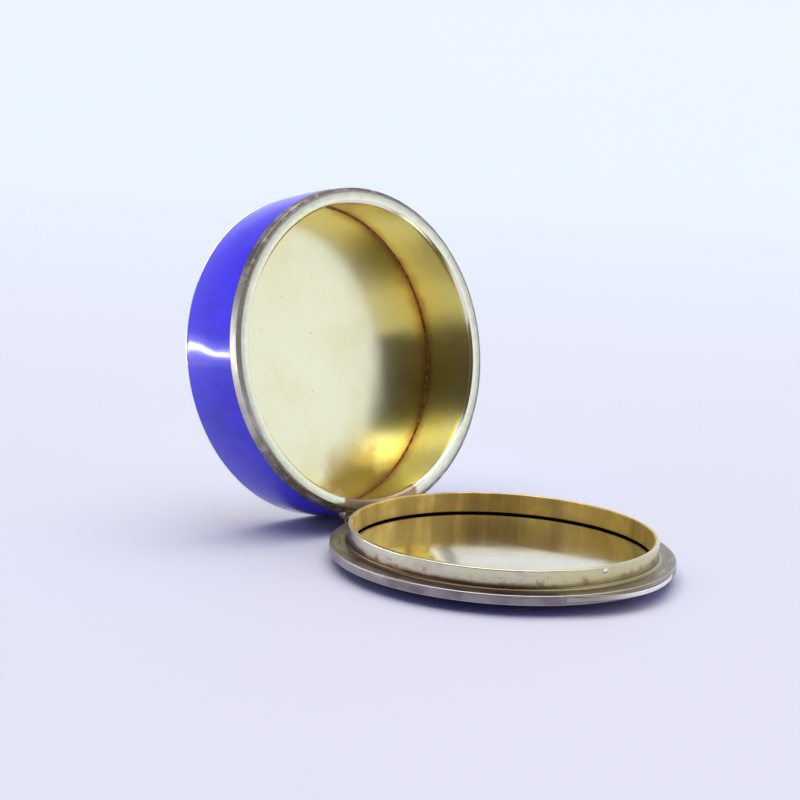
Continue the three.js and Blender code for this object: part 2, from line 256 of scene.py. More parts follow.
def notched(obj, low, high):
    """A turned ring with the straight slot for the hinge cut out of it."""
    near = BEARER_INNER_Y - NOTCH_MARGIN
    half = HINGE_HALF_LENGTH + NOTCH_MARGIN
    rows = [(x, y, z) for x in (-half, half) for y in (near, near + 4) for z in (low, high)]
    faces = [(0, 1, 3, 2), (4, 6, 7, 5), (0, 4, 5, 1), (2, 3, 7, 6), (0, 2, 6, 4), (1, 5, 7, 3)]
    tool = placed("slot_cutter", mesh_from("slot_cutter", rows, faces), obj.matrix_world.copy())
    applied(obj, "BOOLEAN", operation="DIFFERENCE", solver="EXACT", object=tool)
    bpy.data.objects.remove(tool)
    return obj


def uneven(obj, height, wavelength, stretch):
    """Moves the surface in and out by smooth noise: height and wavelength in millimetres."""
    for vertex in obj.data.vertices:
        at = Vector(c * s / (wavelength * MM) for c, s in zip(vertex.co, stretch))
        lift = noise.fractal(at, 0.5, 2.0, 2, noise_basis="PERLIN_ORIGINAL")
        vertex.co += vertex.normal * lift * height * MM
    settle(obj)
    return obj


def part(obj, material, body, slot, *replaced):
    """Gives a piece its look, and says what it rides on and which CAD pieces it stands for."""
    obj.data.materials.clear()
    obj.data.materials.append(material)
    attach(obj, body)
    if replaced:
        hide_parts(*replaced)
    return obj


# ---- Material helpers -----------------------------------------------------------------------------------


class Look:
    """A material under construction. Each method adds a node and returns what comes out of it."""

    def __init__(self, name):
        self.material = bpy.data.materials.new(name)
        self.material.use_nodes = True
        self.tree = self.material.node_tree
        self.tree.nodes.clear()
        here = self.node("ShaderNodeTexCoord").outputs["Object"]
        self.place = self.vector("SCALE", here, scale=1 / MM)
        axes = self.node("ShaderNodeSeparateXYZ", Vector=self.place)
        self.x, self.y, self.z = axes.outputs
        flat = self.node("ShaderNodeCombineXYZ", X=self.x, Y=self.y).outputs[0]
        self.radius = self.node("ShaderNodeVectorMath", operation="LENGTH", Vector=flat).outputs["Value"]
        self.around = self.vector("NORMALIZE", flat)

    def node(self, kind, operation=None, **inputs):
        made = self.tree.nodes.new(kind)
        if operation:
            made.operation = operation
        for name, value in inputs.items():
            self.put(made.inputs[name.replace("_", " ")], value)
        return made

    def put(self, socket, value):
        if isinstance(value, bpy.types.NodeSocket):
            self.tree.links.new(value, socket)
        else:
            socket.default_value = value

    def vector(self, operation, a, b=None, scale=None):
        made = self.tree.nodes.new("ShaderNodeVectorMath")
        made.operation = operation
        self.put(made.inputs[0], a)
        if b is not None:
            self.put(made.inputs[1], b)
        if scale is not None:
            self.put(made.inputs["Scale"], scale)
        return made.outputs["Vector"]

    def math(self, operation, a, b=0.0):
        made = self.tree.nodes.new("ShaderNodeMath")
        made.operation = operation
        self.put(made.inputs[0], a)
        self.put(made.inputs[1], b)
        return made.outputs[0]

    def step(self, value, start, finish, low=0.0, high=1.0):
        """Rises smoothly from low to high while the value goes from start to finish."""
        made = self.tree.nodes.new("ShaderNodeMapRange")
        made.interpolation_type = "SMOOTHSTEP"
        for name, number in zip(("Value", "From Min", "From Max", "To Min", "To Max"),
                                (value, start, finish, low, high)):
            self.put(made.inputs[name], number)
        return made.outputs["Result"]

    def noise(self, wavelength, detail=3.0, rough=0.5, vector=None, shift=0.0):
        """Even noise from 0 to 1, with features about a wavelength across, in millimetres."""
        made = self.tree.nodes.new("ShaderNodeTexNoise")
        made.noise_dimensions = "4D"
        self.put(made.inputs["Vector"], vector if vector is not None else self.place)
        self.put(made.inputs["W"], shift)
        self.put(made.inputs["Scale"], 1.0 / wavelength)
        self.put(made.inputs["Detail"], detail)
        self.put(made.inputs["Roughness"], rough)
        return made.outputs["Fac"]

    def turned(self, wavelength, fade, shift=0.0):
        """Lines that run round the axis, each fading in and out as it goes."""
        across = self.node("ShaderNodeCombineXYZ", X=self.radius, Y=self.z).outputs[0]
        along = self.vector("SCALE", self.around, scale=fade * wavelength)
        axes = self.node("ShaderNodeSeparateXYZ", Vector=along)
        moved = self.node("ShaderNodeCombineXYZ", Z=axes.outputs[0]).outputs[0]
        where = self.vector("ADD", across, moved)
        w = self.math("ADD", self.math("DIVIDE", axes.outputs[1], wavelength), shift)
        return self.noise(wavelength, detail=2.0, vector=where, shift=w)

    def toward(self, direction):
        """How far the way out from the axis agrees with a direction, from -1 to 1."""
        made = self.node("ShaderNodeVectorMath", operation="DOT_PRODUCT", Vector=self.around)
        made.inputs[1].default_value = direction
        return made.outputs["Value"]

    def mix(self, factor, a, b):
        made = self.tree.nodes.new("ShaderNodeMix")
        made.data_type = "RGBA"
        self.put(made.inputs[0], factor)
        for socket, value in ((made.inputs[6], a), (made.inputs[7], b)):
            self.put(socket, value if isinstance(value, bpy.types.NodeSocket) else (*value, 1.0))
        return made.outputs[2]

    def bump(self, height, distance, normal=None):
        """distance is the height in millimetres of a change from 0 to 1."""
        made = self.node("ShaderNodeBump", Height=height, Distance=distance * MM)
        if normal is not None:
            self.put(made.inputs["Normal"], normal)
        return made.outputs["Normal"]

    def finish(self, **inputs):
        shader = self.node("ShaderNodeBsdfPrincipled", **inputs)
        out = self.node("ShaderNodeOutputMaterial")
        self.tree.links.new(shader.outputs[0], out.inputs["Surface"])
        return self.material


SILVER = (0.93, 0.92, 0.88)
SILVER_WORN = (0.70, 0.66, 0.58)
SILVER_CREAM = (0.76, 0.77, 0.61)
TARNISH = (0.17, 0.14, 0.12)
TARNISH_PINK = (0.50, 0.43, 0.41)
GILT = (0.97, 0.84, 0.31)
GILT_PALE = (0.78, 0.78, 0.57)
GILT_ORANGE = (0.62, 0.33, 0.08)
SOLDER_BROWN = (0.16, 0.075, 0.02)
# Across the lid, away from its duller side: more gilding is left there.
GOLDEN_SIDE = (0.72, -0.69, 0.0)


def ring_silver():
    """The mouth ring: cream silver brighter inside, a painted highlight on its inner chamfer, dull and brown
    outside, gilt within the mouth.
    """
    look = Look("ring_silver")
    patches = look.noise(1.6, detail=5.0, rough=0.65)
    lines = look.turned(0.22, fade=2.0)
    wander = look.math("MULTIPLY", look.math("SUBTRACT", patches, 0.5), 1.1)
    edge = look.math("ADD", look.radius, wander)
    flat = look.mix(look.step(edge, MOUTH_INNER + 0.4, MOUTH_FLAT_OUTER), SILVER_CREAM, (0.50, 0.52, 0.43))
    # Painted highlight: the inner chamfer is made near white.
    flat = look.mix(look.step(look.radius, MOUTH_INNER + 0.34, MOUTH_INNER + 0.2), flat, (0.93, 0.92, 0.78))
    worn = look.mix(look.step(patches, 0.42, 0.66), TARNISH, TARNISH_PINK)
    worn = look.mix(look.step(lines, 0.5, 0.62, 0.0, 0.5), worn, TARNISH)
    # The outer band is made lighter towards -x.
    lighter_towards_minus_x = look.step(look.toward((-1.0, 0.0, 0.0)), 0.82, 0.96, 0.0, 0.6)
    worn = look.mix(lighter_towards_minus_x, worn, (0.60, 0.58, 0.53))
    colour = look.mix(look.step(edge, MOUTH_FLAT_OUTER - 0.05, MOUTH_FLAT_OUTER + 0.3), flat, worn)
    specks = look.step(look.noise(0.3, detail=4.0, rough=0.7, shift=4.0), 0.58, 0.70, 0.0, 0.5)
    colour = look.mix(specks, colour, (0.38, 0.36, 0.30))
    inside = look.math("MULTIPLY", look.step(look.z, MOUTH_CHAMFER, MOUTH_CHAMFER + 0.12),
                       look.step(look.radius, MOUTH_INNER + 0.3, MOUTH_INNER + 0.2))
    colour = look.mix(inside, colour, GILT)
    off_middle = look.math("ABSOLUTE", look.math("ADD", look.x, wander))
    heated = look.math("MULTIPLY", look.step(off_middle, HINGE_HALF_LENGTH + 0.3, HINGE_HALF_LENGTH - 0.4),
                       look.step(look.y, 0.0, 1.0))
    colour = look.mix(heated, colour, look.mix(patches, (0.22, 0.14, 0.07), (0.60, 0.44, 0.32)))
    rough = look.step(look.radius, MOUTH_FLAT_OUTER - 0.2, MOUTH_OUTER, 0.16, 0.46)
    bump = look.bump(lines, 0.006, look.bump(look.noise(2.5), 0.01))
    return look.finish(
        Base_Color=colour, Metallic=1.0, Normal=bump,
        Roughness=look.math("MAXIMUM", rough, look.math("MULTIPLY", heated, 0.4)),
    )


def tarnished_silver(name, light, dark, shift=0.0):
    """Turned silver gone brown and grey, with grooves running round it."""
    look = Look(name)
    lines = look.turned(0.3, fade=2.0, shift=shift)
    patches = look.noise(3.0, detail=5.0, rough=0.6, shift=shift)
    factor = look.math("ADD", look.math("MULTIPLY", lines, 0.5), look.math("MULTIPLY", patches, 0.5))
    colour = look.mix(look.step(factor, 0.32, 0.66), light, dark)
    bump = look.bump(lines, 0.008, look.bump(look.noise(1.2, detail=4.0), 0.01))
    return look.finish(
        Base_Color=colour, Metallic=1.0, Normal=bump,
        Roughness=look.step(patches, 0.3, 0.7, 0.28, 0.42),
    )


def rim_silver():
    """The lid's rim: its ledge brown and grey with painted shade at the collar's foot, its outer side tarnish
    and painted shade, with painted highlights along its corners.
    """
    look = Look("rim_silver")
    lines = look.turned(0.3, fade=2.0)
    patches = look.noise(3.0, detail=5.0, rough=0.6)
    ledge = look.mix(look.step(patches, 0.35, 0.65), (0.16, 0.12, 0.09), (0.30, 0.25, 0.20))
    ledge = look.mix(look.step(lines, 0.52, 0.66, 0.0, 0.6), ledge, (0.42, 0.38, 0.33))
    # Painted shade in the fillet at the collar's foot: dark brown, golden-olive on the golden side.
    golden_side = look.step(look.toward(GOLDEN_SIDE), 0.0, 0.45)
    foot = look.mix(golden_side, (0.13, 0.09, 0.06), (0.34, 0.30, 0.17))
    foot_shade_mask = look.step(look.radius, COLLAR_OUTER + 0.55, COLLAR_OUTER + 0.3)
    ledge = look.mix(foot_shade_mask, ledge, foot)
    # The outer side's dark mauve-grey is tarnish together with painted shade.
    side = look.mix(look.step(patches, 0.35, 0.65), (0.20, 0.17, 0.18), (0.32, 0.29, 0.30))
    # Painted highlights along the top and bottom corners of the outer side.
    corner = look.math("MAXIMUM", look.step(look.z, -0.16, -0.06),
                       look.step(look.z, 0.16 - RIM_THICKNESS, 0.06 - RIM_THICKNESS))
    side = look.mix(corner, side, (0.46, 0.43, 0.43))
    colour = look.mix(look.step(look.radius, RADIUS - 0.16, RADIUS - 0.08), ledge, side)
    bump = look.bump(lines, 0.008, look.bump(look.noise(1.2, detail=4.0), 0.01))
    return look.finish(
        Base_Color=colour, Metallic=1.0, Normal=bump,
        Roughness=look.step(patches, 0.3, 0.7, 0.26, 0.38),
    )


def bright_silver():
    """Polished silver, faintly clouded."""
    look = Look("bright_silver")
    patches = look.noise(5.0, detail=4.0, rough=0.5)
    lines = look.turned(0.18, fade=2.5)
    colour = look.mix(look.step(patches, 0.35, 0.75, 0.0, 0.5), SILVER, SILVER_WORN)
    bump = look.bump(lines, 0.004, look.bump(look.noise(2.5), 0.008))
    return look.finish(
        Base_Color=colour, Metallic=1.0, Normal=bump,
        Roughness=look.step(patches, 0.3, 0.8, 0.16, 0.32),
    )


def thumb_silver():
    """The thumb-piece: bright on its outer edge, dull on top, with painted shade towards its left end."""
    look = Look("thumb_silver")
    patches = look.noise(2.0, detail=5.0, rough=0.6)
    bright = look.mix(look.step(patches, 0.45, 0.8), SILVER, (0.62, 0.60, 0.56))
    # Painted shade darkens the outer edge towards its left end.
    left_end_shade = look.step(look.toward((1.0, 0.0, 0.0)), -0.30, 0.05, 1.0, 0.0)
    outer = look.mix(left_end_shade, bright, (0.36, 0.32, 0.30))
    top = look.mix(patches, (0.13, 0.10, 0.08), (0.32, 0.28, 0.23))
    colour = look.mix(look.step(look.z, THUMB_TOP - 0.14, THUMB_TOP - 0.04), outer, top)
    bump = look.bump(patches, 0.02)
    return look.finish(
        Base_Color=colour, Metallic=1.0, Normal=bump,
        Roughness=look.step(patches, 0.3, 0.8, 0.16, 0.32),
    )


def gilt_wall():
    """Gilding inside the drum, stained orange beside the floor seam."""
    look = Look("gilt_wall")
    patches = look.noise(4.0, detail=4.0, rough=0.6)
    lines = look.turned(0.25, fade=2.0)
    near_seam = look.math("ADD", look.z, look.math("MULTIPLY", look.noise(2.5, detail=3.0), 3.0))
    stain = look.step(near_seam, FLOOR_DEPTH - 0.6, FLOOR_DEPTH + 1.6, 0.0, 0.9)
    colour = look.mix(look.step(patches, 0.3, 0.75), GILT, (0.90, 0.82, 0.38))
    colour = look.mix(stain, colour, GILT_ORANGE)
    bump = look.bump(lines, 0.004, look.bump(look.noise(6.0, detail=2.0), 0.03))
    return look.finish(
        Base_Color=colour, Metallic=1.0, Normal=bump,
        Roughness=look.step(patches, 0.25, 0.8, 0.14, 0.20),
    )


def gilt_floor():
    """The drum's floor: pale worn gilding, finely brushed, golden at its seam and dull beside the hinge."""
    look = Look("gilt_floor")
    cloud = look.noise(6.0, detail=4.0, rough=0.5)
    edge = look.math("ADD", look.radius, look.math("MULTIPLY", cloud, 4.0))
    stain = look.step(edge, 20.0, 21.6, 0.0, 0.85)
    colour = look.mix(look.step(cloud, 0.35, 0.7), GILT_PALE, (0.77, 0.75, 0.50))
    colour = look.mix(look.step(edge, 15.5, 20.0, 0.0, 0.8), colour, (0.88, 0.78, 0.33))
    colour = look.mix(stain, colour, GILT_ORANGE)
    ragged = look.math("MULTIPLY", look.noise(3.0, detail=3.0, shift=8.0), 0.12)
    beside_hinge = look.math("ADD", look.toward((0.25, 0.97, 0.0)), ragged)
    dull = look.math("MULTIPLY", look.step(beside_hinge, 0.985, 1.06), look.step(look.radius, 10.0, 15.0))
    colour = look.mix(look.math("MULTIPLY", dull, 0.85), colour, (0.44, 0.31, 0.10))
    specks = look.step(look.noise(0.45, detail=2.0, shift=2.0), 0.69, 0.76, 0.0, 0.45)
    colour = look.mix(specks, colour, (0.42, 0.33, 0.14))
    scratches = look.noise(0.3, detail=3.0, vector=look.vector("MULTIPLY", look.place, (1.0, 0.12, 1.0)))
    bump = look.bump(scratches, 0.003, look.bump(look.noise(7.0, detail=2.0), 0.04))
    return look.finish(
        Base_Color=colour, Metallic=1.0, Normal=bump,
        Roughness=look.step(cloud, 0.3, 0.75, 0.22, 0.28),
    )


def collar_inside(look, patches, broad):
    """Deep gilding in upright bands, duller on the lid's golden side."""
    gold = look.mix(look.step(patches, 0.3, 0.7), (0.95, 0.72, 0.25), (0.76, 0.54, 0.15))
    gold = look.mix(look.step(broad, 0.5, 0.62, 0.0, 0.6), gold, (0.58, 0.42, 0.20))
    upright = look.vector("MULTIPLY", look.place, (1.0, 1.0, 0.2))
    bands = look.noise(3.0, detail=3.0, vector=upright, shift=4.0)
    gold = look.mix(look.step(bands, 0.45, 0.6, 0.0, 0.6), gold, (0.48, 0.32, 0.11))
    duller = look.step(look.toward(GOLDEN_SIDE), 0.35, 0.9, 0.0, 0.4)
    return look.mix(duller, gold, (0.50, 0.36, 0.10))


def collar_outside(look, patches, broad):
    """Gilding worn to cream silver, with painted shade and brown stains above the foot."""
    golden_side = look.step(look.toward(GOLDEN_SIDE), -0.1, 0.35)
    silver = look.mix(look.step(broad, 0.4, 0.6), (0.68, 0.66, 0.54), (0.66, 0.65, 0.45))
    silver = look.mix(look.step(patches, 0.50, 0.66, 0.0, 0.6), silver, (0.52, 0.44, 0.36))
    silver = look.mix(look.math("MULTIPLY", golden_side, 0.4), silver, (0.66, 0.58, 0.26))
    foot_silver = look.mix(golden_side, (0.58, 0.49, 0.38), (0.66, 0.58, 0.28))
    height = look.math("ADD", look.z, look.math("MULTIPLY", look.math("SUBTRACT", patches, 0.5), 1.2))
    worn = look.mix(look.step(height, 0.5, 1.9), foot_silver, silver)
    # Painted shade in the crease above the foot, with brown staining, weaker on the golden side.
    stain = look.math("MULTIPLY", look.step(height, 0.95, 0.4), look.step(golden_side, 1.0, 0.0, 0.25, 1.0))
    worn = look.mix(stain, worn, (0.20, 0.12, 0.05))
    spots = look.step(look.noise(1.1, detail=3.0, shift=2.5), 0.56, 0.66, 0.0, 0.7)
    blotch = look.math("MULTIPLY", spots, look.step(look.z, 1.7, 0.9))
    return look.mix(blotch, worn, (0.30, 0.21, 0.12))


def collar_gilt():
    """The collar: gilt inside, worn and stained outside, with painted shade, near black, in the gap at its
    foot.
    """
    look = Look("collar_gilt")
    patches = look.noise(2.0, detail=5.0, rough=0.6)
    broad = look.noise(7.0, detail=2.0, shift=5.0)
    lines = look.turned(0.2, fade=2.0)
    outside = look.step(look.radius, COLLAR_INNER + 0.1, COLLAR_INNER + 0.3)
    inner, outer = collar_inside(look, patches, broad), collar_outside(look, patches, broad)
    colour = look.mix(outside, inner, outer)
    # Painted shade: the inside of the gap at the foot is made near black.
    foot = look.math("MULTIPLY", look.step(look.z, -0.1, -0.18), look.step(outside, 1.0, 0.0))
    colour = look.mix(foot, colour, (0.03, 0.014, 0.004))
    pits = look.step(look.noise(0.3, detail=2.0, shift=6.0), 0.66, 0.74, 0.0, 0.6)
    colour = look.mix(pits, colour, SOLDER_BROWN)
    bump = look.bump(lines, 0.004, look.bump(look.noise(3.0), 0.02))
    return look.finish(
        Base_Color=colour, Metallic=1.0, Normal=bump,
        Roughness=look.step(outside, 0.0, 1.0, 0.50, 0.22),
    )


def inner_plate_gilt():
    """The plate inside the lid: thin gilding, almost a mirror, with painted shade at its edge by the collar.
    """
    look = Look("inner_plate_gilt")
    cloud = look.noise(5.0, detail=5.0, rough=0.6)
    marks = look.noise(0.5, detail=4.0, rough=0.7, shift=3.0)
    colour = look.mix(look.step(cloud, 0.35, 0.7), (0.70, 0.71, 0.62), (0.70, 0.64, 0.47))
    colour = look.mix(look.step(marks, 0.6, 0.75, 0.0, 0.4), colour, (0.52, 0.42, 0.24))
    # Painted shade on the plate's edge, beside the gap at the collar's foot.
    edge = look.step(look.radius, INNER_PLATE_RADIUS - 0.8, INNER_PLATE_RADIUS - 0.3)
    colour = look.mix(edge, colour, (0.16, 0.09, 0.03))
    bump = look.bump(look.noise(0.25, detail=3.0), 0.002, look.bump(look.noise(7.0, detail=2.0), 0.03))
    return look.finish(
        Base_Color=colour, Metallic=1.0, Normal=bump,
        Roughness=look.step(cloud, 0.3, 0.75, 0.08, 0.15),
    )


def solder():
    look = Look("solder")
    lumps = look.noise(0.4, detail=4.0, rough=0.6)
    colour = look.mix(look.step(lumps, 0.4, 0.65), SOLDER_BROWN, (0.40, 0.24, 0.10))
    return look.finish(
        Base_Color=colour, Metallic=0.6, Roughness=look.step(lumps, 0.3, 0.7, 0.45, 0.6),
        Normal=look.bump(lumps, 0.05),
    )


def rough_solder():
    """Pale solder left rough at the hinge."""
    look = Look("rough_solder")
    lumps = look.noise(0.35, detail=4.0, rough=0.6)
    colour = look.mix(look.step(lumps, 0.4, 0.65), (0.60, 0.50, 0.47), (0.86, 0.80, 0.76))
    return look.finish(
        Base_Color=colour, Metallic=1.0, Roughness=look.step(lumps, 0.3, 0.7, 0.4, 0.3),
        Normal=look.bump(lumps, 0.03),
    )


def blue_enamel(name, deep, light):
    """Clear blue glass over silver under a polished coat, with painted light: lighter away from the hinge,
    darker towards it.
    """
    look = Look(name)
    cloud = look.noise(4.0, detail=4.0, rough=0.55)
    streaks = look.noise(1.2, detail=3.0, vector=look.vector("MULTIPLY", look.place, (1.0, 1.0, 0.25)))
    factor = look.math("ADD", look.math("MULTIPLY", cloud, 0.6), look.math("MULTIPLY", streaks, 0.4))
    # Painted light and shade: the blue is lifted away from the hinge.
    lift = look.step(look.y, 10.0, -8.0, 0.0, 0.6)
    factor = look.math("ADD", look.step(factor, 0.3, 0.7, 0.0, 0.5), lift)
    colour = look.mix(factor, deep, light)
    return look.finish(
        Base_Color=colour, Metallic=0.05, Roughness=look.step(cloud, 0.3, 0.7, 0.42, 0.5),
        Coat_Weight=0.9, Coat_Roughness=0.12, Coat_IOR=1.5, Specular_IOR_Level=0.05,
    )


RING_SILVER = ring_silver()
BRIGHT_SILVER = bright_silver()
THUMB_SILVER = thumb_silver()
RIM_SILVER = rim_silver()
HINGE_SILVER = tarnished_silver("hinge_silver", (0.30, 0.24, 0.21), (0.10, 0.07, 0.055), shift=9.0)
GILT_WALL = gilt_wall()
GILT_FLOOR = gilt_floor()
COLLAR_GILT = collar_gilt()
INNER_PLATE_GILT = inner_plate_gilt()
SOLDER = solder()
ROUGH_SOLDER = rough_solder()
BOX_ENAMEL = blue_enamel("box_enamel_blue", (0.008, 0.003, 0.56), (0.050, 0.022, 1.0))
# Painted shade: the lid's enamel is the drum's blue made darker, as it faces the table.
LID_ENAMEL_SHADED = blue_enamel("lid_enamel_blue_shaded", (0.008, 0.003, 0.24), (0.030, 0.012, 0.50))

# ---- Drum -----------------------------------------------------------------------------------------------


def drum_radius(depth):
    across = (depth - DRUM_BULGE_DEPTH) / (DRUM_BULGE_DEPTH - MOUTH_RING_DEPTH)
    return RADIUS + DRUM_BULGE * (1 - across * across)


def wall_inner(depth):
    return WALL_INNER_AT_MOUTH + (WALL_INNER_AT_FLOOR - WALL_INNER_AT_MOUTH) * depth / FLOOR_DEPTH


def barrel(start, finish, inset, steps):
    """Points down the drum's barrel, set in from its outside."""
    depths = [start + (finish - start) * i / steps for i in range(steps + 1)]
    return [[drum_radius(depth) - inset, depth] for depth in depths]


def make_box_enamel():
    top = MOUTH_RING_DEPTH + FIT
    outside = barrel(top, BASE_EDGE_DEPTH, 0.02, 36)
    inside = barrel(BASE_EDGE_DEPTH, top, ENAMEL_THICKNESS, 8)
    obj = lathe("enamel_drum", outside + inside, DRUM_FRAME, segments=288)
    uneven(obj, height=0.05, wavelength=6.5, stretch=(1, 1, 0.8))
    part(obj, BOX_ENAMEL, "box", "blue_enamel", "box_enamel")


def make_box_wall():
    top = MOUTH_RING_INSIDE_DEPTH + FIT
    shoulder = MOUTH_RING_DEPTH + FIT
    bottom = FLOOR_DEPTH + FLOOR_THICKNESS
    under_ring = MOUTH_RING_SHOULDER - FIT
    inside = line((wall_inner(bottom), bottom), (wall_inner(top), top), 24)
    outline = [
        *inside,
        [under_ring, top],
        [under_ring, shoulder],
        *barrel(shoulder, bottom, ENAMEL_THICKNESS + FIT, 8),
    ]
    part(lathe("gilt_wall", outline, DRUM_FRAME), GILT_WALL, "box", "gilt", "box_wall")


def make_mouth_ring():
    outline = [
        [MOUTH_INNER, MOUTH_CHAMFER, 0.08],
        [MOUTH_INNER + MOUTH_CHAMFER, 0, 0.12],
        [MOUTH_FLAT_OUTER, 0, 0.3],
        [MOUTH_OUTER, MOUTH_BEVEL_DEPTH, 0.16],
        [RADIUS, MOUTH_RING_DEPTH, 0.05],
        [MOUTH_RING_SHOULDER, MOUTH_RING_DEPTH],
        [MOUTH_RING_SHOULDER, MOUTH_RING_INSIDE_DEPTH],
        [MOUTH_INNER, MOUTH_RING_INSIDE_DEPTH, 0.03],
    ]
    ring = notched(lathe("mouth_ring_turned", outline, DRUM_FRAME), -1, BEARER_DEPTH + NOTCH_MARGIN)
    part(ring, RING_SILVER, "box", "bright_silver", "mouth_ring")


def make_floor():
    radius = WALL_INNER_AT_FLOOR - FIT
    top = line((0, FLOOR_DEPTH), (radius, FLOOR_DEPTH), 24)
    bottom = line((radius, FLOOR_DEPTH + FLOOR_THICKNESS), (0, FLOOR_DEPTH + FLOOR_THICKNESS), 3)
    part(lathe("floor_brushed", top + bottom, DRUM_FRAME), GILT_FLOOR, "box", "gilt_floor", "floor_plate")


def make_floor_seam():
    """A thin irregular line of solder between the wall and the floor."""
    leg = 0.13
    depth = FLOOR_DEPTH - 0.01
    radius = wall_inner(depth) - 0.01
    outline = [
        [radius, depth - leg],
        [radius, depth],
        [radius - leg, depth],
        [radius - leg / 3, depth - leg / 3],
    ]
    seam = lathe("floor_seam", outline, DRUM_FRAME, segments=720)
    for vertex in seam.data.vertices:
        lump = noise.fractal(vertex.co / (0.8 * MM), 0.6, 2.0, 3, noise_basis="PERLIN_ORIGINAL")
        inward = Vector((vertex.co.x, vertex.co.y, 0)).normalized() * -1
        swell = max(0.0, lump) * 0.09 * MM
        if abs(Vector((vertex.co.x, vertex.co.y)).length - radius * MM) > 0.02 * MM:
            vertex.co += inward * swell
        if vertex.co.z < (depth - 0.02) * MM:
            vertex.co.z -= swell
    settle(seam, 60)
    part(seam, SOLDER, "box", "solder", "floor_solder")


def make_base():
    top = FLOOR_DEPTH + FLOOR_THICKNESS + FIT
    outline = [
        [0, top],
        [BASE_PLATE_RADIUS, top],
        [BASE_PLATE_RADIUS, DRUM_DEPTH, 0.06],
        *line((BASE_PLATE_RADIUS - 1, DRUM_DEPTH), (0, DRUM_DEPTH), 16),
    ]
    part(lathe("base_disc", outline, DRUM_FRAME), BRIGHT_SILVER, "box", "bright_silver", "base_plate")
    inner = BASE_PLATE_RADIUS + FIT
    edge = [
        [inner, BASE_EDGE_DEPTH + FIT],
        [BASE_EDGE_RADIUS - 0.03, BASE_EDGE_DEPTH + FIT, 0.03],
        [BASE_EDGE_RADIUS, BASE_EDGE_DEPTH + 0.09, 0.05],
        [BASE_EDGE_RADIUS - 0.02, BASE_EDGE_DEPTH + 0.2, 0.1],
        [BASE_EDGE_RADIUS - 0.22, DRUM_DEPTH, 0.05],
        [inner, DRUM_DEPTH, 0.03],
    ]
    part(lathe("base_edge", edge, DRUM_FRAME), BRIGHT_SILVER, "box", "bright_silver", "base_edge_ring")


# ---- Lid ------------------------------------------------------------------------------------------------


TABLE = (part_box("lid_enamel")[0].z - LID_FRAME.translation.z) / MM
RIM_UNDERSIDE = -RIM_THICKNESS - FIT
DISH_STEPS = 40


def dish(radius, middle, edge, power):
    """A shallow dish's surface from its middle to its edge."""
    shares = [i / DISH_STEPS for i in range(DISH_STEPS + 1)]
    return [[radius * share, middle + (edge - middle) * share ** power] for share in shares]


def lowered(outline, drop):
    return [[radius, z - drop] for radius, z in outline]


def make_lid_rim():
    inner = COLLAR_OUTER + FIT
    outline = [
        [inner, -RIM_THICKNESS],
        [RADIUS, -RIM_THICKNESS, 0.12],
        [RADIUS, 0, 0.14],
        *line((RADIUS - 0.5, 0), (inner + LEDGE_FILLET + 0.1, 0), 5),
        *arc((inner + LEDGE_FILLET, LEDGE_FILLET), LEDGE_FILLET, 270, 180),
    ]
    rim = notched(lathe("lid_rim_turned", outline, LID_FRAME), -RIM_THICKNESS - 1, 1)
    part(rim, RIM_SILVER, "lid", "tarnished_silver", "lid_rim")


def make_lid_collar():
    inside = line((COLLAR_INNER, COLLAR_UNDERCUT_TOP + 0.1), (COLLAR_INNER, COLLAR_HEIGHT - 0.3), 8)
    outside = line((COLLAR_OUTER, COLLAR_HEIGHT - 0.3), (COLLAR_OUTER, -COLLAR_ROOT), 10)
    outline = [
        [COLLAR_UNDERCUT, COLLAR_UNDERCUT_TOP],
        [COLLAR_INNER, COLLAR_UNDERCUT_TOP, 0.04],
        *inside,
        [COLLAR_INNER, COLLAR_HEIGHT, 0.14],
        [COLLAR_OUTER, COLLAR_HEIGHT, 0.14],
        *outside,
        [COLLAR_UNDERCUT, -COLLAR_ROOT],
    ]
    collar = lathe("collar_turned", outline, LID_FRAME)
    part(collar, COLLAR_GILT, "lid", "gilt", "lid_collar")


def inner_plate_top():
    return dish(INNER_PLATE_RADIUS, -INNER_PLATE_MIDDLE_DROP, -INNER_PLATE_EDGE_DROP, INNER_DISH_POWER)


def make_lid_inner_plate():
    top = inner_plate_top()
    outline = top + lowered(top, INNER_PLATE_THICKNESS)[::-4]
    plate = lathe("inner_plate", outline, LID_FRAME)
    part(plate, INNER_PLATE_GILT, "lid", "gilt", "lid_inner_plate")


def make_lid_enamel():
    """The enamel over the lid's shallow dome, thin at its edge under the rim."""
    outside = dish(LID_ENAMEL_EDGE, TABLE, RIM_UNDERSIDE, OUTER_DISH_POWER)
    plate_middle = -INNER_PLATE_MIDDLE_DROP - INNER_PLATE_THICKNESS - FIT - LID_PLATE_THICKNESS
    under_plate = lowered(dish(LID_PLATE_RADIUS, plate_middle, RIM_UNDERSIDE, OUTER_DISH_POWER), FIT)
    outline = [*outside, [LID_PLATE_RADIUS + FIT, RIM_UNDERSIDE], *under_plate[:-1][::-1]]
    part(lathe("enamel_lid", outline, LID_FRAME), LID_ENAMEL_SHADED, "lid", "blue_enamel", "lid_enamel")


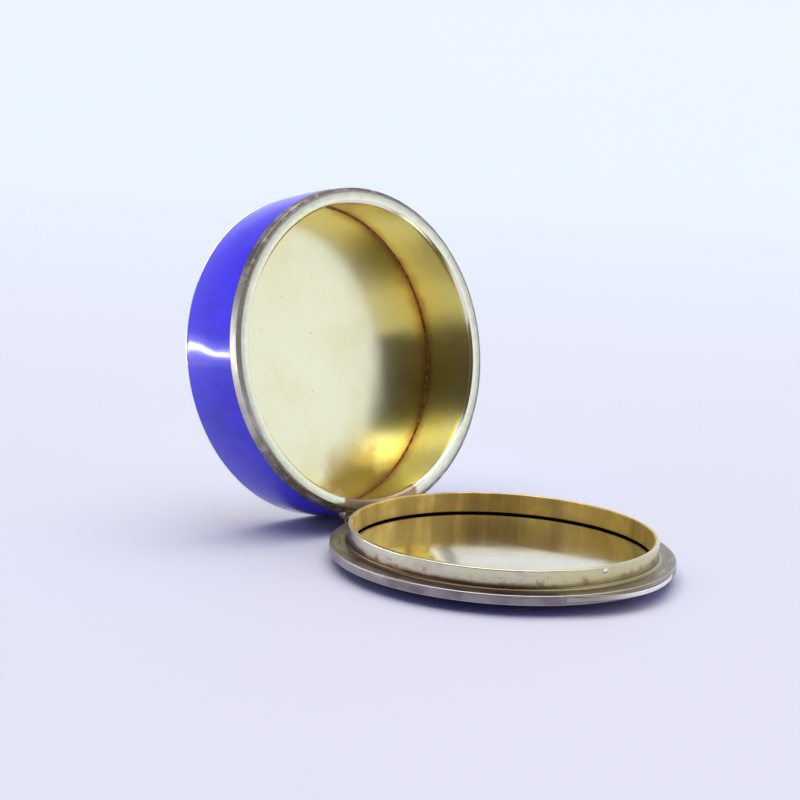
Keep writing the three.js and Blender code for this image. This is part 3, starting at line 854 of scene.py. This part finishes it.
def make_thumb_piece():
    """A crescent lip whose outer edge stands further out in the middle."""
    steps = 48
    inner = RADIUS + FIT
    rows, faces, count = [], [], 0
    for i in range(steps + 1):
        share = 2 * i / steps - 1
        angle = share * THUMB_HALF_ANGLE
        proud = THUMB_ROOT_PROUD + THUMB_REACH * math.cos(share * math.pi / 2)
        section = rounded([
            [inner, THUMB_TOP - THUMB_THICKNESS],
            [inner + proud, THUMB_TOP - THUMB_THICKNESS, 0.2],
            [inner + proud, THUMB_TOP, 0.2],
            [inner, THUMB_TOP],
        ])
        count = len(section)
        rows += [(p[0] * math.sin(angle), -p[0] * math.cos(angle), p[1]) for p in section]
    for i in range(steps):
        for j in range(count):
            k = (j + 1) % count
            faces.append([i * count + j, i * count + k, (i + 1) * count + k, (i + 1) * count + j])
    faces += [list(range(count)), list(range((steps + 1) * count - 1, steps * count - 1, -1))]
    thumb = placed("thumb_lip", mesh_from("thumb_lip", rows, faces), LID_FRAME)
    part(thumb, THUMB_SILVER, "lid", "bright_silver", "thumb_piece")


def make_snap_pip():
    """A low oval bump on the outside of the collar, with a shallow dent across its middle."""
    foot = PIP_RADIUS - PIP_PROUD
    cap = math.acos(foot / PIP_RADIUS)
    outline = [[0, foot]]
    for i in range(9):
        angle = cap * (1 - i / 8)
        outline.append([PIP_RADIUS * math.sin(angle), PIP_RADIUS * math.cos(angle)])
    outline[-1][0] = 0
    at = Matrix.Translation((0, (foot - COLLAR_OUTER - FIT) * MM, PIP_HEIGHT * MM))
    facing = Matrix.Rotation(PIP_ANGLE, 4, "Z") @ at @ Matrix.Rotation(math.radians(90), 4, "X")
    pip = lathe("pip", outline, LID_FRAME @ facing, segments=32)
    for vertex in pip.data.vertices:
        vertex.co.x *= PIP_STRETCH
        if vertex.co.z > foot * MM:
            vertex.co.z -= 0.05 * MM * math.exp(-(vertex.co.x / (0.13 * MM)) ** 2)
    settle(pip, 60)
    part(pip, BRIGHT_SILVER, "lid", "bright_silver", "snap_pip")


# ---- Hinge ----------------------------------------------------------------------------------------------

LIP_ANGLE = (180 - math.degrees(OPEN_ANGLE)) / 2


def pin_arc(radius, start, finish, steps):
    """Points round the pin, in the section of the closed hinge."""
    result = []
    for i in range(steps + 1):
        angle = math.radians(start + (finish - start) * i / steps)
        result.append([HINGE_Y + radius * math.cos(angle), HINGE_Z + radius * math.sin(angle)])
    return result


def trough_start(level):
    return 180 - math.degrees(math.asin((level - HINGE_Z) / TROUGH_RADIUS))


def make_bearers():
    """The two blocks that hold the barrel. The drum's is drawn closed and is then in drum coordinates."""
    foot = CLOSED_GAP + BEARER_DEPTH
    stop = 90 - LIP_ANGLE + 0.6
    drum_section = [
        [BEARER_INNER_Y, CLOSED_GAP, 0.05],
        *pin_arc(TROUGH_RADIUS, trough_start(CLOSED_GAP), stop, 16),
        *pin_arc(LIP_RADIUS, stop, 90, 6),
        [BEARER_FOOT_Y, foot],
        [BEARER_INNER_Y, foot],
    ]
    drum_section = [[row[0], row[1] - CLOSED_GAP, *row[2:]] for row in drum_section]
    length = 2 * HINGE_HALF_LENGTH
    box_bearer = applied(bar("bearer_box", drum_section, length, DRUM_FRAME),
                         "BEVEL", width=0.05 * MM, segments=2, limit_method="ANGLE")
    part(box_bearer, HINGE_SILVER, "box", "tarnished_silver", "box_hinge_bearer")
    lid_section = [
        [BEARER_INNER_Y, 0, 0.05],
        [BEARER_INNER_Y, -RIM_THICKNESS],
        [BEARER_FOOT_Y, -RIM_THICKNESS],
        *pin_arc(LIP_RADIUS, 270, 360 - stop, 6),
        *pin_arc(TROUGH_RADIUS, 360 - stop, trough_start(0), 16),
    ]
    lid_bearer = applied(bar("bearer_lid", lid_section, length, LID_FRAME),
                         "BEVEL", width=0.05 * MM, segments=2, limit_method="ANGLE")
    part(lid_bearer, HINGE_SILVER, "lid", "tarnished_silver", "lid_hinge_bearer")


def make_knuckles():
    pitch = 2 * HINGE_HALF_LENGTH / KNUCKLE_COUNT
    half = (pitch - KNUCKLE_GAP) / 2
    owners = [("box", "box_knuckle_left"), ("lid", "lid_knuckle_left"), ("box", "box_knuckle_middle"),
              ("lid", "lid_knuckle_right"), ("box", "box_knuckle_right")]
    for index, (body, node) in enumerate(owners):
        outline = [
            [BORE_RADIUS, -half],
            [KNUCKLE_RADIUS, -half, 0.05],
            *line((KNUCKLE_RADIUS, -half + 0.3), (KNUCKLE_RADIUS, half - 0.3), 6),
            [KNUCKLE_RADIUS, half, 0.05],
            [BORE_RADIUS, half],
        ]
        low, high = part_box(node)
        at = Matrix.Translation(((low.x + high.x) / 2, PIN.y, PIN.z)) @ HINGE_FRAME.to_3x3().to_4x4()
        tube = lathe("knuckle_%d" % (index + 1), outline, at, segments=48)
        part(tube, HINGE_SILVER, body, "tarnished_silver", node)


def make_pin_plugs():
    """The pin's ends, hammered into low domes."""
    radius = BORE_RADIUS - 0.015
    for side, node in ((-1, "pin_plug_left"), (1, "pin_plug_right")):
        low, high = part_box(node)
        middle = Vector(((low.x + high.x) / 2, PIN.y, PIN.z))
        half = PLUG_LENGTH / 2
        outline = [[0, -half * side], [radius, -half * side], [radius, (half - 0.1) * side],
                   [radius * 0.75, (half - 0.03) * side, 0.1], [0, half * side]]
        at = Matrix.Translation(middle) @ HINGE_FRAME.to_3x3().to_4x4()
        plug = lathe("pin_end_" + ("left" if side < 0 else "right"), outline, at, segments=32)
        part(plug, HINGE_SILVER, "box", "tarnished_silver", node)


def make_hinge_solder():
    """Rough solder left in the mouth's inner corner at each end of the hinge."""
    steps, sides = 40, 14
    middle, depth = MOUTH_INNER + 0.2, 0.13
    clear_of_lid = MOUTH_INNER + MOUTH_CHAMFER - 0.1
    for side, name in ((-1, "hinge_solder_left"), (1, "hinge_solder_right")):
        rows, faces = [], []
        for i in range(steps + 1):
            share = i / steps
            angle = side * (math.radians(17.5) + math.radians(7.5) * share)
            lump = noise.noise(Vector((share * 7.0, side * 3.0, 0.5)))
            size = (0.17 + 0.12 * lump) * math.sin(math.pi * min(max(share, 0.04), 0.96)) ** 0.4
            for j in range(sides):
                turn = math.tau * j / sides
                grain = 1 + 0.3 * noise.noise(Vector((share * 16.0, math.cos(turn), math.sin(turn))))
                radius = max(middle + size * grain * math.cos(turn), MOUTH_INNER)
                z = max(depth + size * grain * math.sin(turn), 0.005)
                short = max(0.0, clear_of_lid - radius - z)
                radius, z = radius + short / 2, z + short / 2
                rows.append((radius * math.sin(angle), radius * math.cos(angle), z))
        for i in range(steps):
            for j in range(sides):
                k = (j + 1) % sides
                faces.append([i * sides + j, i * sides + k, (i + 1) * sides + k, (i + 1) * sides + j])
        faces += [list(range(sides)), list(range((steps + 1) * sides - 1, steps * sides - 1, -1))]
        lumps = placed(name, mesh_from(name, rows, faces), DRUM_FRAME)
        part(lumps, ROUGH_SOLDER, "box", "solder")


make_box_enamel()
make_box_wall()
make_mouth_ring()
make_floor()
make_floor_seam()
make_base()
make_lid_rim()
make_lid_collar()
make_lid_inner_plate()
make_lid_enamel()
make_thumb_piece()
make_snap_pip()
make_bearers()
make_knuckles()
make_pin_plugs()
make_hinge_solder()

for node in ("lid_plate", "hinge_pin"):
    frame["nodes"][node].data.materials.clear()
    frame["nodes"][node].data.materials.append(BRIGHT_SILVER)

# ---- Camera ---------------------------------------------------------------------------------------------

VIEW_AZIMUTH = math.radians(-43.865)
VIEW_ELEVATION = math.radians(11.031)
VIEW_ROLL = math.radians(2.951)
VIEW_DISTANCE = 266.757
# From the hinge pin, in millimetres.
AIM = Vector((2.660, 1.131, 13.637))
LENS = 98.474


def make_camera():
    cos = math.cos(VIEW_ELEVATION)
    back = Vector((math.sin(VIEW_AZIMUTH) * cos, -math.cos(VIEW_AZIMUTH) * cos, math.sin(VIEW_ELEVATION)))
    level_right = Vector((0, 0, 1)).cross(back).normalized()
    level_up = back.cross(level_right)
    right = level_right * math.cos(VIEW_ROLL) + level_up * math.sin(VIEW_ROLL)
    up = back.cross(right)
    data = bpy.data.cameras.new("camera")
    data.lens = LENS
    data.sensor_width = 36.0
    data.clip_start = 0.01
    data.clip_end = 50.0
    camera = bpy.data.objects.new("camera", data)
    bpy.context.scene.collection.objects.link(camera)
    turn = Matrix((right, up, back)).transposed().to_4x4()
    hinge = PIN + AIM * MM
    camera.matrix_world = Matrix.Translation(hinge + back * VIEW_DISTANCE * MM) @ turn
    bpy.context.scene.camera = camera
    return back


toward_camera = make_camera()
LEVEL = Vector((toward_camera.x, toward_camera.y, 0)).normalized()

# ---- Table and light ------------------------------------------------------------------------------------


def make_table():
    """A wide pale table top, with painted light: brighter away from the camera."""
    reach = 40.0
    mesh = bpy.data.meshes.new("table")
    corners = [(-reach, -reach, 0), (reach, -reach, 0), (reach, reach, 0), (-reach, reach, 0)]
    mesh.from_pydata(corners, [], [(0, 1, 2, 3)])
    table = bpy.data.objects.new("table", mesh)
    bpy.context.scene.collection.objects.link(table)
    look = Look("table_top")
    away = look.node("ShaderNodeVectorMath", operation="DOT_PRODUCT", Vector=look.place)
    away.inputs[1].default_value = (-LEVEL.x, -LEVEL.y, 0)
    cloud = look.math("MULTIPLY", look.noise(90.0, detail=2.0), 60.0)
    distance = look.math("ADD", away.outputs["Value"], cloud)
    near, far = (0.665, 0.655, 0.745), (0.72, 0.775, 0.82)
    # Painted light: the top grows brighter away from the camera.
    colour = look.mix(look.step(distance, -50.0, 560.0), near, far)
    table.data.materials.append(look.finish(Base_Color=colour, Roughness=0.75, Specular_IOR_Level=0.2))


def toward(azimuth, elevation):
    """A direction: azimuth in degrees from -y towards +x, then elevation."""
    a, e = math.radians(azimuth), math.radians(elevation)
    return (math.sin(a) * math.cos(e), -math.cos(a) * math.cos(e), math.sin(e))


SOFTBOX = toward(-14, 59)


def make_world():
    """A studio: a wide soft light above, a bright side to the right, and a dark room behind the camera."""
    world = bpy.data.worlds.new("studio")
    world.use_nodes = True
    bpy.context.scene.world = world
    tree = world.node_tree
    tree.nodes.clear()

    def add(kind, **settings):
        made = tree.nodes.new(kind)
        for key, value in settings.items():
            setattr(made, key, value)
        return made

    def feed(socket, value):
        if isinstance(value, bpy.types.NodeSocket):
            tree.links.new(value, socket)
        else:
            socket.default_value = value

    def vector(operation, a, b):
        made = add("ShaderNodeVectorMath", operation=operation)
        feed(made.inputs[0], a)
        feed(made.inputs[1], b)
        return made

    def ramp(value, start, finish, low, high):
        made = add("ShaderNodeMapRange", interpolation_type="SMOOTHSTEP")
        for name, number in zip(("Value", "From Min", "From Max", "To Min", "To Max"),
                                (value, start, finish, low, high)):
            feed(made.inputs[name], number)
        return made.outputs["Result"]

    def times(a, b):
        made = add("ShaderNodeMath", operation="MULTIPLY")
        feed(made.inputs[0], a)
        feed(made.inputs[1], b)
        return made.outputs[0]

    where = add("ShaderNodeTexCoord").outputs["Generated"]
    flat = vector("NORMALIZE", vector("MULTIPLY", where, (1, 1, 0)).outputs[0], (0, 0, 0)).outputs[0]
    height = vector("DOT_PRODUCT", where, (0, 0, 1)).outputs["Value"]
    to_camera = vector("DOT_PRODUCT", flat, tuple(LEVEL)).outputs["Value"]
    to_window = vector("DOT_PRODUCT", flat, (0.95, -0.3, 0)).outputs["Value"]
    side = times(ramp(to_window, -0.2, 0.85, 0.7, 1.15), ramp(height, 0.25, 0.5, 1.0, 0.65))
    gloom = ramp(to_camera, 0.6, 0.88, 0.0, 1.0)
    side = times(side, ramp(gloom, 0.0, 1.0, 1.0, 0.13))
    facing = vector("DOT_PRODUCT", where, (-0.1, -0.995, 0)).outputs["Value"]
    ceiling = ramp(facing, 0.2, 0.38, 2.8, 0.45)
    general = ramp(height, 0.74, 0.84, side, ceiling)
    softbox = vector("DOT_PRODUCT", where, SOFTBOX).outputs["Value"]
    strength = ramp(softbox, math.cos(math.radians(13.5)), math.cos(math.radians(9.5)), general, 2.2)
    warmth = add("ShaderNodeMix", data_type="RGBA")
    feed(warmth.inputs[0], times(gloom, ramp(height, 0.6, 0.8, 1.0, 0.0)))
    warmth.inputs[6].default_value = (0.93, 0.95, 1.0, 1.0)
    warmth.inputs[7].default_value = (1.0, 0.84, 0.82, 1.0)
    background = add("ShaderNodeBackground")
    feed(background.inputs["Color"], warmth.outputs[2])
    feed(background.inputs["Strength"], strength)
    plain = add("ShaderNodeBackground")
    plain.inputs["Color"].default_value = (0.82, 0.86, 0.94, 1.0)
    mix = add("ShaderNodeMixShader")
    feed(mix.inputs[0], add("ShaderNodeLightPath").outputs["Is Camera Ray"])
    feed(mix.inputs[1], background.outputs[0])
    feed(mix.inputs[2], plain.outputs[0])
    feed(add("ShaderNodeOutputWorld").inputs["Surface"], mix.outputs[0])


# Name, height and middle in millimetres, and energy in watts.
STRIPS = (("strip", 3, 14.8, 0.04), ("strip_glow", 24, 13, 0.007))
STRIP_SIDE = Vector((-0.68, 0.73, 0))
STRIP_DISTANCE = 140
STRIP_LENGTH = 110


def make_strip_lights():
    """A bright strip low on the left, in a weak taller glow, which the drum's enamel mirrors."""
    for name, height, middle, energy in STRIPS:
        data = bpy.data.lights.new(name, "AREA")
        data.shape = "RECTANGLE"
        data.size = STRIP_LENGTH * MM
        data.size_y = height * MM
        data.energy = energy
        strip = bpy.data.objects.new(name, data)
        bpy.context.scene.collection.objects.link(strip)
        strip.location = (STRIP_SIDE * STRIP_DISTANCE + Vector((0, 0, middle))) * MM
        strip.rotation_euler = (-STRIP_SIDE).to_track_quat("-Z", "Y").to_euler()
        strip.visible_camera = False
        strip.visible_diffuse = False


make_table()
make_world()
make_strip_lights()
bpy.context.scene.view_settings.view_transform = "Standard"
